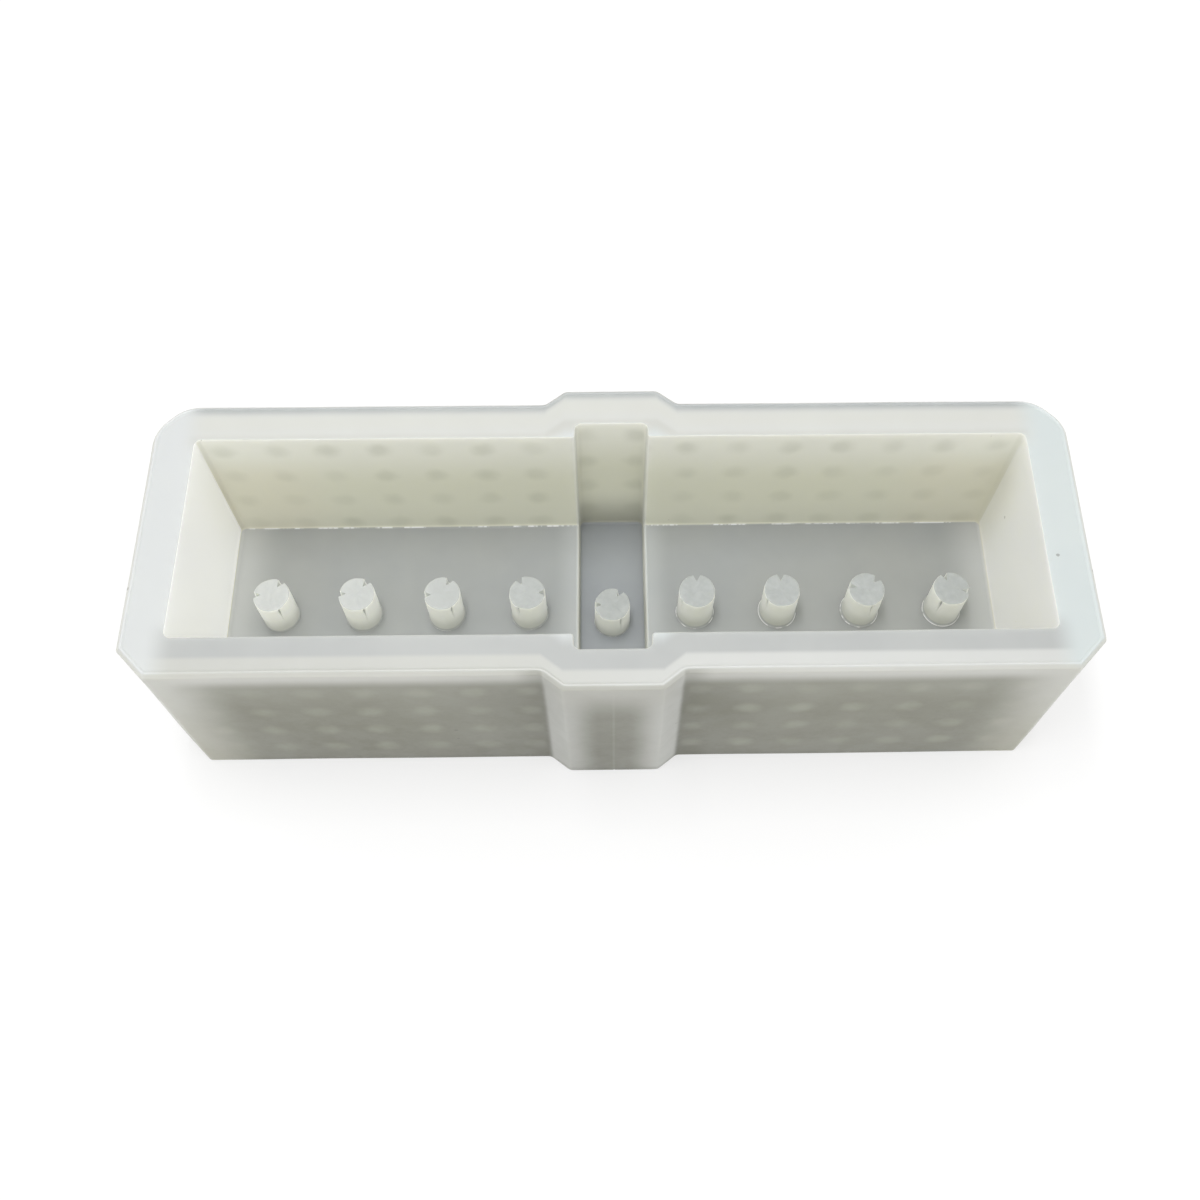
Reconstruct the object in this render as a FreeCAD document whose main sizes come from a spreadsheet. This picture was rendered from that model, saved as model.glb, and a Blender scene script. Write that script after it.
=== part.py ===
"""Nine-light block mould: a thick silicone block with a long cavity, a cross channel,
nine slit core posts set in its floor and a perforated stiffener inside each long wall.

Frame: +X along the block, +Y towards the back wall, +Z up, origin under the middle of the base.
"""
import FreeCAD, Part
import math
import os

import Sketcher

# ---------------------------------------------------------------- driving dimensions, mm and degrees

SIZES = {
    # block
    "block_length": 280.0,
    "block_width": 89.0,
    "block_height": 76.0,
    "corner_chamfer": 8.5,
    "back_shoulder_radius": 10.5,
    # rim: a bevelled outer edge with a fine raised lip just inside it
    "rim_bevel": 1.2,
    "lip_height": 0.4,
    "lip_width": 0.8,
    # collar: the shallow bay in the middle of each long side
    "collar_base_width": 41.0,
    "collar_face_width": 28.5,
    "collar_reach": 4.8,
    # cavity
    "end_wall": 13.0,
    "side_wall": 12.2,
    "floor_thickness": 16.5,
    "cavity_corner_radius": 2.0,
    # channel across the middle
    "channel_width": 22.4,
    "channel_reach": 4.8,
    "channel_floor_thickness": 9.5,
    # core posts
    "post_diameter": 11.8,
    "post_height": 17.0,
    "middle_post_height": 14.0,
    "post_pitch": 27.4,
    "post_row_offset": 0.5,
    "post_seat_depth": 5.0,
    "post_seat_gap": 0.05,
    # slits down each post
    "slit_width": 1.0,
    "slit_depth": 2.3,
    "slit_length": 9.5,
    # stiffeners inside the long walls
    "stiffener_thickness": 5.0,
    "stiffener_outer_cover": 3.0,
    "stiffener_front_drop": 9.5,
    "stiffener_back_drop": 4.5,
    "stiffener_base_cover": 5.5,
    "stiffener_margin": 6.5,
    "hole_diameter": 7.5,
    "hole_pitch": 16.0,
}

POST_COUNT = 9
SLIT_COUNT = 3
# How far each post was turned when it was set in the floor, from the left post to the right one.
POST_TURNS = (60.0, 57.0, 65.0, 0.0, 60.0, 90.0, 92.0, 45.0, 110.0)

PARTS_FOLDER = "parts"
TINY = 1e-6

# ---------------------------------------------------------------- sheet

doc = FreeCAD.newDocument("nine_light_block_mould")
sheet = doc.addObject("Spreadsheet::Sheet", "Sizes")


def write_sheet():
    """Puts every driving dimension in a cell of its own, under its alias."""
    rows = dict(SIZES)
    for number, turn in enumerate(POST_TURNS, start=1):
        rows["turn_of_post_%d" % number] = turn
    for row, (name, value) in enumerate(rows.items(), start=1):
        sheet.set("A%d" % row, name)
        sheet.set("B%d" % row, str(value))
        sheet.setAlias("B%d" % row, name)
    doc.recompute()


def cell(name):
    """The value of one cell, for what code has to count."""
    return float(getattr(sheet, name))


def ref(name):
    """The same cell as an expression."""
    return "Sizes." + name


write_sheet()

# ---------------------------------------------------------------- derived expressions

HALF_LENGTH = "(Sizes.block_length / 2)"
HALF_WIDTH = "(Sizes.block_width / 2)"
HALF_CAVITY_LENGTH = "(Sizes.block_length / 2 - Sizes.end_wall)"
HALF_CAVITY_WIDTH = "(Sizes.block_width / 2 - Sizes.side_wall)"
HALF_BASE = "(Sizes.collar_base_width / 2)"
HALF_FACE = "(Sizes.collar_face_width / 2)"
RIM_LEVEL = "(Sizes.block_height - Sizes.lip_height)"
FLOOR_LEVEL = "Sizes.floor_thickness"
CHANNEL_LEVEL = "Sizes.channel_floor_thickness"
RIM_INSET = "(Sizes.rim_bevel + Sizes.lip_width)"
# An inset outline slides its corners along by inset x tan(half the turn there).
CORNER_SLIDE = "tan(22.5 deg)"
COLLAR_SLIDE = "tan(atan(Sizes.collar_reach / (%s - %s)) / 2)" % (HALF_BASE, HALF_FACE)


def outer_corners(inset):
    """The quarter outline of the block, from its end to its middle, set in by an expression."""
    slide = "%s * %s" % (inset, CORNER_SLIDE)
    collar_slide = "%s * %s" % (inset, COLLAR_SLIDE)
    return [
        ("%s - %s" % (HALF_LENGTH, inset), "%s - Sizes.corner_chamfer - %s" % (HALF_WIDTH, slide)),
        ("%s - Sizes.corner_chamfer - %s" % (HALF_LENGTH, slide), "%s - %s" % (HALF_WIDTH, inset)),
        ("%s - %s" % (HALF_BASE, collar_slide), "%s - %s" % (HALF_WIDTH, inset)),
        ("%s - %s" % (HALF_FACE, collar_slide), "%s + Sizes.collar_reach - %s" % (HALF_WIDTH, inset)),
    ]


# ---------------------------------------------------------------- sketch helpers

H_AXIS = -1
V_AXIS = -2
START = 1
END = 2
CENTRE = 3


def origin_feature(body, role):
    """A plane or axis of the body's own origin."""
    for feature in body.Origin.OriginFeatures:
        if feature.Role == role:
            return feature
    raise RuntimeError("no %s in %s" % (role, body.Label))


def new_sketch(body, name, plane="XY_Plane", level=None):
    """A sketch on one of the body's origin planes, lifted by an expression if one is given."""
    sketch = body.newObject("Sketcher::SketchObject", name)
    sketch.AttachmentSupport = [(origin_feature(body, plane), "")]
    sketch.MapMode = "FlatFace"
    if level is not None:
        sketch.setExpression("AttachmentOffset.Base.z", level)
    return sketch


def number(sketch, expression):
    """What an expression is worth now."""
    value = sketch.evalExpression(expression)
    return float(getattr(value, "Value", value))


def drive(sketch, kind, handles, expression):
    """Adds one dimension and binds it to an expression."""
    index = sketch.addConstraint(Sketcher.Constraint(kind, *handles, number(sketch, expression)))
    sketch.setExpression("Constraints[%d]" % index, expression)


def closed_lines(sketch, points):
    """A closed run of lines through the points; line k starts at point k."""
    count = len(points)
    for k, (x, y) in enumerate(points):
        next_x, next_y = points[(k + 1) % count]
        start = FreeCAD.Vector(x, y, 0)
        end = FreeCAD.Vector(next_x, next_y, 0)
        sketch.addGeometry(Part.LineSegment(start, end), False)
    for k in range(count):
        sketch.addConstraint(Sketcher.Constraint("Coincident", k, END, (k + 1) % count, START))


def quarter_outline(sketch, corners):
    """A closed outline that is the same in all four quarters, from its first quarter's corners."""
    first = [(number(sketch, x), number(sketch, y)) for x, y in corners]
    last = len(first) - 1
    signs = [(1, 1), (-1, 1), (-1, -1), (1, -1)]
    points = []
    order = []
    for quarter, (sign_x, sign_y) in enumerate(signs):
        ids = range(last + 1) if quarter % 2 == 0 else range(last, -1, -1)
        for i in ids:
            points.append((sign_x * first[i][0], sign_y * first[i][1]))
            order.append((quarter, i))
    closed_lines(sketch, points)
    master = {i: order.index((0, i)) for i in range(last + 1)}
    for k, (quarter, i) in enumerate(order):
        if quarter == 0:
            drive(sketch, "DistanceX", (H_AXIS, START, k, START), corners[i][0])
            drive(sketch, "DistanceY", (H_AXIS, START, k, START), corners[i][1])
        elif quarter == 1:
            sketch.addConstraint(Sketcher.Constraint("Symmetric", master[i], START, k, START, V_AXIS))
        elif quarter == 2:
            sketch.addConstraint(
                Sketcher.Constraint("Symmetric", master[i], START, k, START, H_AXIS, START))
        else:
            sketch.addConstraint(Sketcher.Constraint("Symmetric", master[i], START, k, START, H_AXIS))


def half_outline(sketch, corners):
    """A closed outline that is the same on both sides of the sketch's vertical axis."""
    right = [(number(sketch, x), number(sketch, y)) for x, y in corners]
    left = [(-x, y) for x, y in reversed(right)]
    closed_lines(sketch, right + left)
    count = len(right)
    for k in range(count):
        drive(sketch, "DistanceX", (H_AXIS, START, k, START), corners[k][0])
        drive(sketch, "DistanceY", (H_AXIS, START, k, START), corners[k][1])
        twin = 2 * count - 1 - k
        sketch.addConstraint(Sketcher.Constraint("Symmetric", k, START, twin, START, V_AXIS))


def circle_on_axis(sketch, x, x_expression, radius_expression):
    """A circle on the sketch's horizontal axis, x to the right of the origin (negative: left)."""
    radius = number(sketch, radius_expression)
    centre = FreeCAD.Vector(x, 0, 0)
    circle = sketch.addGeometry(Part.Circle(centre, FreeCAD.Vector(0, 0, 1), radius), False)
    sketch.addConstraint(Sketcher.Constraint("PointOnObject", circle, CENTRE, H_AXIS))
    if abs(x) < TINY:
        sketch.addConstraint(Sketcher.Constraint("PointOnObject", circle, CENTRE, V_AXIS))
    elif x > 0:
        drive(sketch, "DistanceX", (H_AXIS, START, circle, CENTRE), x_expression)
    else:
        drive(sketch, "DistanceX", (circle, CENTRE, H_AXIS, START), x_expression)
    drive(sketch, "Radius", (circle,), radius_expression)


# ---------------------------------------------------------------- feature helpers


def pad(body, sketch, name, length):
    """Raises a sketch by an expression."""
    feature = body.newObject("PartDesign::Pad", name)
    feature.Profile = sketch
    feature.setExpression("Length", length)
    doc.recompute()
    return feature


def pocket(body, sketch, name, length=None):
    """Cuts a sketch into the body, by an expression or right through both ways, and checks it cut."""
    before = body.Shape.Volume
    feature = body.newObject("PartDesign::Pocket", name)
    feature.Profile = sketch
    if length is None:
        feature.Type = "ThroughAll"
        feature.Midplane = True
    else:
        feature.setExpression("Length", length)
    doc.recompute()
    if body.Shape.Volume > before - TINY:
        raise RuntimeError("%s cut nothing" % name)
    return feature


# ---------------------------------------------------------------- stiffeners


def stiffener_columns():
    """How many columns of holes fit the cavity's length; always an even number."""
    half = cell("block_length") / 2 - cell("end_wall") - cell("stiffener_margin")
    return 2 * int(half / cell("hole_pitch") + 0.5 + TINY)


def stiffener_rows():
    """How many rows of holes fit between the lower of the two drops and the base cover."""
    drop = max(cell("stiffener_front_drop"), cell("stiffener_back_drop"))
    room = cell("block_height") - drop - cell("stiffener_base_cover") - 2 * cell("stiffener_margin")
    return 1 + int(room / cell("hole_pitch") + TINY)


COLUMNS = stiffener_columns()
ROWS = stiffener_rows()
STIFFENER_HALF_LENGTH = "(%.1f * Sizes.hole_pitch + Sizes.stiffener_margin)" % ((COLUMNS - 1) / 2)
STIFFENER_HEIGHT = "(%d * Sizes.hole_pitch + 2 * Sizes.stiffener_margin)" % (ROWS - 1)


def stiffener(label, turn, drop):
    """A perforated board that follows the long wall and its collar at an even depth."""
    body = doc.addObject("PartDesign::Body", label)
    body.Label = label
    near = "Sizes.stiffener_outer_cover"
    far = "(Sizes.stiffener_outer_cover + Sizes.stiffener_thickness)"
    near_corners = outer_corners(near)
    far_corners = outer_corners(far)
    plan = new_sketch(body, label + "_plan")
    half_outline(plan, [
        far_corners[3],
        far_corners[2],
        (STIFFENER_HALF_LENGTH, far_corners[1][1]),
        (STIFFENER_HALF_LENGTH, near_corners[1][1]),
        near_corners[2],
        near_corners[3],
    ])
    pad(body, plan, label + "_board", STIFFENER_HEIGHT)

    hole_plan = new_sketch(body, label + "_hole_plan", "XZ_Plane")
    radius = "Sizes.hole_diameter / 2"
    start_x = "%.1f * Sizes.hole_pitch" % ((COLUMNS - 1) / 2)
    centre = FreeCAD.Vector(-number(hole_plan, start_x), cell("stiffener_margin"), 0)
    circle = hole_plan.addGeometry(
        Part.Circle(centre, FreeCAD.Vector(0, 0, 1), number(hole_plan, radius)), False)
    drive(hole_plan, "DistanceX", (circle, CENTRE, H_AXIS, START), start_x)
    drive(hole_plan, "DistanceY", (H_AXIS, START, circle, CENTRE), "Sizes.stiffener_margin")
    drive(hole_plan, "Radius", (circle,), radius)
    first_hole = pocket(body, hole_plan, label + "_hole")
    hole_volume = body.Tip.BaseFeature.Shape.Volume - body.Shape.Volume

    grid = body.newObject("PartDesign::MultiTransform", label + "_hole_grid")
    grid.Originals = [first_hole]
    steps = []
    for axis, count in (("X_Axis", COLUMNS), ("Z_Axis", ROWS)):
        if count < 2:
            continue
        step = body.newObject("PartDesign::LinearPattern", "%s_%s_step" % (label, axis[0].lower()))
        step.Direction = (origin_feature(body, axis), [""])
        step.Occurrences = count
        step.setExpression("Length", "%d * Sizes.hole_pitch" % (count - 1))
        steps.append(step)
    grid.Transformations = steps
    body.Tip = grid
    doc.recompute()
    cut = first_hole.BaseFeature.Shape.Volume - body.Shape.Volume
    if abs(cut - COLUMNS * ROWS * hole_volume) > 0.01 * cut:
        raise RuntimeError("%s does not have all its holes" % label)

    body.Placement = FreeCAD.Placement(
        FreeCAD.Vector(0, 0, 0), FreeCAD.Rotation(FreeCAD.Vector(0, 0, 1), turn))
    body.setExpression(
        "Placement.Base.z", "%s - %s - %s" % (RIM_LEVEL, ref(drop), STIFFENER_HEIGHT))
    doc.recompute()
    return body


# ---------------------------------------------------------------- mould body


def post_index(k):
    """A post's place in the row, counted from the middle one: negative to the left."""
    return k - POST_COUNT // 2


def is_upright(edge):
    """True for a straight edge along Z."""
    box = edge.BoundBox
    return box.ZLength > TINY and box.XLength < TINY and box.YLength < TINY


def round_upright_edges(body, name, corners, radius):
    """Rounds the upright edges that stand at the given corners, by an expression."""
    base = body.Tip
    places = [(number(body, x), number(body, y)) for x, y in corners]
    names = []
    for index, edge in enumerate(base.Shape.Edges, start=1):
        foot = edge.Vertexes[0]
        at_corner = any(math.dist((foot.X, foot.Y), place) < TINY for place in places)
        if is_upright(edge) and at_corner:
            names.append("Edge%d" % index)
    if len(names) < len(corners):
        raise RuntimeError("%s: not every edge was found" % name)
    fillet = body.newObject("PartDesign::Fillet", name)
    fillet.Base = (base, names)
    fillet.setExpression("Radius", radius)
    body.Tip = fillet
    doc.recompute()


def both_ends(corners):
    """The same corners at both ends of the block."""
    return corners + [("-(%s)" % x, y) for x, y in corners]


def both_sides(corners):
    """The same corners at the front and at the back of the block."""
    return corners + [(x, "-(%s)" % y) for x, y in corners]


def bevel_rim(body):
    """Takes the sharp edge off the outside of the rim."""
    base = body.Tip
    top = number(body, "Sizes.block_height")
    names = []
    for index, edge in enumerate(base.Shape.Edges, start=1):
        box = edge.BoundBox
        if box.ZMin > top - TINY:
            names.append("Edge%d" % index)
    chamfer = body.newObject("PartDesign::Chamfer", "rim_bevel")
    chamfer.Base = (base, names)
    chamfer.setExpression("Size", "Sizes.rim_bevel")
    body.Tip = chamfer
    doc.recompute()


def post_seats(body, name, places, level):
    """Round seats for the posts at the given places of the row, sunk from one level."""
    sketch = new_sketch(body, name + "_plan", level=level)
    sketch.setExpression("AttachmentOffset.Base.y", "-Sizes.post_row_offset")
    radius = "Sizes.post_diameter / 2 + Sizes.post_seat_gap"
    for place in places:
        x_expression = "%d * Sizes.post_pitch" % abs(place)
        circle_on_axis(sketch, place * cell("post_pitch"), x_expression, radius)
    pocket(body, sketch, name, "Sizes.post_seat_depth")


def moulded_block():
    """The silicone block with its rim lip, cavity, channel and post seats."""
    body = doc.addObject("PartDesign::Body", "moulded_block")
    body.Label = "moulded_block"
    outline = new_sketch(body, "block_plan")
    quarter_outline(outline, outer_corners("0"))
    pad(body, outline, "block", "Sizes.block_height")
    shoulders = outer_corners("0")[:2]
    round_upright_edges(body, "back_shoulders", both_ends(shoulders), "Sizes.back_shoulder_radius")
    bevel_rim(body)

    rim = new_sketch(body, "rim_plan", level="Sizes.block_height")
    quarter_outline(rim, outer_corners(RIM_INSET))
    pocket(body, rim, "rim", "Sizes.lip_height")
    rim_shoulders = outer_corners(RIM_INSET)[:2]
    rim_radius = "Sizes.back_shoulder_radius - %s" % RIM_INSET
    round_upright_edges(body, "rim_shoulders", both_ends(rim_shoulders), rim_radius)

    cavity_corner = (HALF_CAVITY_LENGTH, HALF_CAVITY_WIDTH)
    cavity = new_sketch(body, "cavity_plan", level=RIM_LEVEL)
    quarter_outline(cavity, [cavity_corner])
    pocket(body, cavity, "cavity", "%s - %s" % (RIM_LEVEL, FLOOR_LEVEL))

    channel_corner = ("Sizes.channel_width / 2", "%s + Sizes.channel_reach" % HALF_CAVITY_WIDTH)
    channel = new_sketch(body, "channel_plan", level=RIM_LEVEL)
    quarter_outline(channel, [channel_corner])
    pocket(body, channel, "channel", "%s - %s" % (RIM_LEVEL, CHANNEL_LEVEL))

    inner_corners = both_sides(both_ends([cavity_corner, channel_corner]))
    round_upright_edges(body, "inner_corners", inner_corners, "Sizes.cavity_corner_radius")

    side_places = [post_index(k) for k in range(POST_COUNT) if post_index(k) != 0]
    post_seats(body, "floor_seats", side_places, FLOOR_LEVEL)
    post_seats(body, "channel_seat", [0], CHANNEL_LEVEL)
    return body


def cut_out(label, base, tool):
    """What is left of base when the tool's space is taken from it."""
    result = doc.addObject("Part::Cut", label)
    result.Label = label
    result.Base = base
    result.Tool = tool
    doc.recompute()
    if result.Shape.Volume > base.Shape.Volume - TINY:
        raise RuntimeError("%s took nothing away" % label)
    return result


# ---------------------------------------------------------------- core posts


def core_post(k):
    """One slit post, standing in its seat and turned as it was set."""
    place = post_index(k)
    height = "middle_post_height" if place == 0 else "post_height"
    level = CHANNEL_LEVEL if place == 0 else FLOOR_LEVEL
    label = "core_post_%d" % (k + 1)
    body = doc.addObject("PartDesign::Body", label)
    body.Label = label
    length = "(%s + Sizes.post_seat_depth)" % ref(height)
    section = new_sketch(body, label + "_section")
    circle_on_axis(section, 0.0, "0", "Sizes.post_diameter / 2")
    pad(body, section, label + "_stem", length)

    slit_plan = new_sketch(body, label + "_slit_plan", level=length)
    half = "Sizes.slit_width / 2"
    inner = "Sizes.post_diameter / 2 - Sizes.slit_depth"
    outer = "Sizes.post_diameter / 2 + Sizes.slit_depth"
    points = [(inner, half), (outer, half)]
    upper = [(number(slit_plan, x), number(slit_plan, y)) for x, y in points]
    lower = [(x, -y) for x, y in reversed(upper)]
    closed_lines(slit_plan, upper + lower)
    for i, (x, y) in enumerate(points):
        drive(slit_plan, "DistanceX", (H_AXIS, START, i, START), x)
        drive(slit_plan, "DistanceY", (H_AXIS, START, i, START), y)
        slit_plan.addConstraint(Sketcher.Constraint("Symmetric", i, START, 3 - i, START, H_AXIS))
    slit = pocket(body, slit_plan, label + "_slit", "Sizes.slit_length")

    slits = body.newObject("PartDesign::PolarPattern", label + "_slits")
    slits.Originals = [slit]
    slits.Axis = (origin_feature(body, "Z_Axis"), [""])
    slits.Angle = 360
    slits.Occurrences = SLIT_COUNT
    body.Tip = slits
    doc.recompute()

    body.Placement = FreeCAD.Placement(
        FreeCAD.Vector(0, 0, 0), FreeCAD.Rotation(FreeCAD.Vector(0, 0, 1), 1.0))
    body.setExpression("Placement.Base.x", "%d * Sizes.post_pitch" % place)
    body.setExpression("Placement.Base.y", "-Sizes.post_row_offset")
    body.setExpression("Placement.Base.z", "%s - Sizes.post_seat_depth" % level)
    body.setExpression("Placement.Rotation.Angle", ref("turn_of_post_%d" % (k + 1)))
    doc.recompute()
    return body


# ---------------------------------------------------------------- build, check and write


def check_document(pieces):
    """Stops if any object failed or any piece has no good solid."""
    doc.recompute()
    for item in doc.Objects:
        if "Invalid" in item.State or "Error" in item.State:
            raise RuntimeError("%s failed: %s" % (item.Label, item.State))
    for piece in pieces:
        shape = piece.Shape
        if shape.isNull() or not shape.isValid() or len(shape.Solids) != 1:
            raise RuntimeError("%s is not one valid solid" % piece.Label)


def build():
    """Makes every piece and writes each to a file of its own."""
    front = stiffener("front_wall_stiffener", 180.0, "stiffener_front_drop")
    back = stiffener("back_wall_stiffener", 0.0, "stiffener_back_drop")
    block = moulded_block()
    front_cut = cut_out("block_with_front_space", block, front)
    mould = cut_out("mould_body", front_cut, back)
    posts = [core_post(k) for k in range(POST_COUNT)]
    pieces = [mould, front, back] + posts
    check_document(pieces)
    os.makedirs(PARTS_FOLDER, exist_ok=True)
    for piece in pieces:
        piece.Shape.exportStep(os.path.join(PARTS_FOLDER, piece.Label + ".step"))
        print("%-24s %10.1f mm3" % (piece.Label, piece.Shape.Volume))


build()
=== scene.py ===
"""Looks of a nine-light block mould: a milky silicone block, the core posts that stand in its
cavity and the perforated boards buried in its long walls. Metres, in the part's own frame:
+X along the block, +Y towards the back wall, +Z up, origin under the middle of the base.
"""

import math

import bmesh
import bpy
from mathutils import Matrix, Vector, noise


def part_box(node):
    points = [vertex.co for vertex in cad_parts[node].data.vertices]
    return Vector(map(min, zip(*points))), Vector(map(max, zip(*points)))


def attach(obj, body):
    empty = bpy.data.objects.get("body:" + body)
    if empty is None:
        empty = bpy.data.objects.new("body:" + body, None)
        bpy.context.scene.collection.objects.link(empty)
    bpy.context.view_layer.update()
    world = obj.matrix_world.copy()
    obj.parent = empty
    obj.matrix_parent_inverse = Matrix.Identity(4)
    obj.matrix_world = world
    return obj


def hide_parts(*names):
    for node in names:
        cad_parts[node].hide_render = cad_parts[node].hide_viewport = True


bl_info = {
    "name": "Nine-Light Block Mould",
    "version": (1, 0, 0),
    "blender": (4, 5, 0),
    "location": "3D View > Sidebar > Mould",
    "description": "Builds a silicone block mould, its core posts and its studio round a packed part",
    "category": "Object",
}

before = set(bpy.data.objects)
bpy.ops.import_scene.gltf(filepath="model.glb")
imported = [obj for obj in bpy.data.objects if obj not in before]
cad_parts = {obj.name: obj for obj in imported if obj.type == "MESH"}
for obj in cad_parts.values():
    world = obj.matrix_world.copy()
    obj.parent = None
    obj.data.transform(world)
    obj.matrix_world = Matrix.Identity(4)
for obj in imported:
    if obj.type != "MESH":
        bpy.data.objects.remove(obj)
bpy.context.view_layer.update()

MM = 0.001
BLOCK_NODE = "mould_body"
STIFFENER_NODES = ("front_wall_stiffener", "back_wall_stiffener")
POST_NODES = sorted(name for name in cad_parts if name.startswith("core_post_"))
MIDDLE_POST = POST_NODES[len(POST_NODES) // 2]
BODY = "root"
SETTINGS = ("mould_block", "mould_posts", "mould_boards", "mould_studio")

WELD = 1e-6
LEAST_RADIUS = 0.12 * MM
COLLAR_ROUND = 3.0 * MM
SWAY_SEED = 7
SLITS = 3
SILICONE_IOR = 1.41

BLOCK_LOW, BLOCK_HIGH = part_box(BLOCK_NODE)
BOARD_LOW, BOARD_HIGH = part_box(STIFFENER_NODES[1])


# ---------------------------------------------------------------- settings a user would change


def amount(name, description, default, **limits):
    """A plain number."""
    return bpy.props.FloatProperty(name=name, description=description, default=default, **limits)


def length(name, description, default):
    """A length in metres."""
    return amount(name, description, default, min=0.0, precision=5, unit="LENGTH")


def factor(name, description, default):
    """A number from 0 to 1."""
    return amount(name, description, default, min=0.0, max=1.0, subtype="FACTOR")


def tilt(name, description, degrees):
    """An angle, given in degrees."""
    return amount(name, description, math.radians(degrees), subtype="ANGLE")


def colour(name, description, default):
    """A linear colour."""
    return bpy.props.FloatVectorProperty(
        name=name, description=description, default=default, size=3, min=0.0, max=1.0, subtype="COLOR")


class MouldBlockSettings(bpy.types.PropertyGroup):
    """Sizes and colours of the silicone block."""

    collar_reach: length("Collar reach", "How far each collar stands out", 4.8 * MM)
    collar_base: length("Collar base width", "Width of a collar where it meets the wall", 41.0 * MM)
    collar_face: length("Collar face width", "Width of a collar's flat face", 28.5 * MM)
    corner_chamfer: length("Corner chamfer", "Chamfer of the block's upright corners", 8.5 * MM)
    back_shoulder: length("Back shoulder radius", "Rounding of the back corners' shoulders", 11.5 * MM)
    front_shoulder: length("Front shoulder radius", "Rounding of the front corners' shoulders", 1.6 * MM)
    base_round: length("Base round", "Rounding of the bottom edge", 0.9 * MM)
    rim_bevel: length("Rim bevel", "Bevel on the outer edge of the rim", 1.2 * MM)
    crest_width: length("Crest width", "Width of the fine raised lip", 0.8 * MM)
    crest_height: length("Crest height", "How far the lip stands above the rim", 0.4 * MM)
    end_wall: length("End wall", "Thickness of the end walls", 13.0 * MM)
    side_wall: length("Side wall", "Thickness of the long walls", 12.2 * MM)
    floor_level: length("Floor thickness", "Silicone under the cavity", 16.5 * MM)
    channel_level: length("Channel floor thickness", "Silicone under the channel", 9.5 * MM)
    channel_width: length("Channel width", "Width of the cross channel", 22.4 * MM)
    inner_corner: length("Inner corner radius", "Rounding of the cavity's upright corners", 2.0 * MM)
    floor_fillet: length("Floor fillet", "Fillet between the walls and the floor", 1.2 * MM)
    mouth_round: length("Mouth round", "Rounding where the channel meets the cavity", 0.9 * MM)
    rim_round: length("Rim round", "Rounding of the rim's inner edge", 0.5 * MM)
    sway: length("Sway", "How far the soft walls stray from true", 0.22 * MM)
    silicone: colour("Silicone", "Main colour of the milky silicone", (0.70, 0.72, 0.67))
    rim_end: colour("Rim at the ends", "Rim past the ends of the buried boards", (0.605, 0.622, 0.620))
    rim_cool: colour("Rim edge", "Thin bluish silicone along the back edge", (0.365, 0.385, 0.39))
    rim_warm: colour("Rim over board", "Rim where the buried board shows through", (0.590, 0.595, 0.560))
    # painted shade: the darkest tone of the outer walls, near the base
    wall_shade_deep: colour("Deep wall", "Outer wall near the base", (0.18, 0.18, 0.135))
    floor_grey: colour("Floor", "Cavity floor", (0.38, 0.395, 0.40))


class MouldPostSettings(bpy.types.PropertyGroup):
    """Sizes and colours of the core posts."""

    slit_width: length("Slit width", "Width of each slit at the top", 2.4 * MM)
    slit_depth: length("Slit depth", "How far each slit cuts into the post", 2.3 * MM)
    slit_length: length("Slit length", "How far each slit runs down", 9.5 * MM)
    foot_round: length("Foot round", "Fillet between a post and the floor", 0.55 * MM)
    tear: length("Tear", "Roughness of the torn top", 0.35 * MM)
    turns: bpy.props.FloatVectorProperty(
        name="Turns", description="How each post is turned, from left to right, in degrees",
        default=(60.0, 57.0, 65.0, 0.0, 60.0, 90.0, 92.0, 45.0, 110.0), size=9)
    torn_grey: colour("Torn top", "Torn silicone on the top", (0.42, 0.44, 0.435))
    top_white: colour("Side", "White silicone of the upper side", (0.82, 0.83, 0.79))
    # painted shade: the posts' sides darken towards the floor
    foot_shade: colour("Foot", "Clearer silicone near the floor", (0.60, 0.61, 0.56))


class MouldBoardSettings(bpy.types.PropertyGroup):
    """Colours and hole grid of the buried boards."""

    hole_pitch: length("Hole pitch", "Distance between holes", 16.0 * MM)
    hole_show: length("Hole show", "How wide a hole looks through the silicone", 7.2 * MM)
    inner_first_row: length("Inner first row", "First row below the rim, seen from the cavity", 7.3 * MM)
    outer_first_row: length("Outer first row", "First row below the rim, seen from outside", 13.8 * MM)
    board: colour("Board", "Cream board", (0.80, 0.78, 0.66))


class MouldStudioSettings(bpy.types.PropertyGroup):
    """Floor, lights and camera."""

    floor: colour("Floor", "Plain pale floor", (0.42, 0.42, 0.42))
    floor_glow: factor("Floor glow", "Light that the pale floor gives off by itself", 0.56)
    backdrop: factor("Backdrop", "How pale the backdrop looks behind the floor", 0.96)
    low_light: amount("Low light", "Brightness of the tent of light at the sides", 0.37, min=0.0)
    high_light: amount("High light", "Brightness of the tent of light overhead", 1.25, min=0.0)
    top_light: amount("Top light", "Power of the long light over the block", 2.6, min=0.0, unit="POWER")
    camera_place: bpy.props.FloatVectorProperty(
        name="Camera place", description="Where the camera stands", size=3, subtype="TRANSLATION",
        unit="LENGTH", default=(-1.01 * MM, -179.87 * MM, 430.64 * MM))
    camera_pitch: tilt("Camera pitch", "How far the camera looks down", 61.57)
    camera_yaw: tilt("Camera yaw", "How far the camera turns to the left", -1.26)
    camera_roll: tilt("Camera roll", "How far the camera leans", 0.58)
    camera_lens: amount("Camera lens", "Focal length in millimetres", 40.52, min=1.0)


# ---------------------------------------------------------------- outlines in plan


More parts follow.
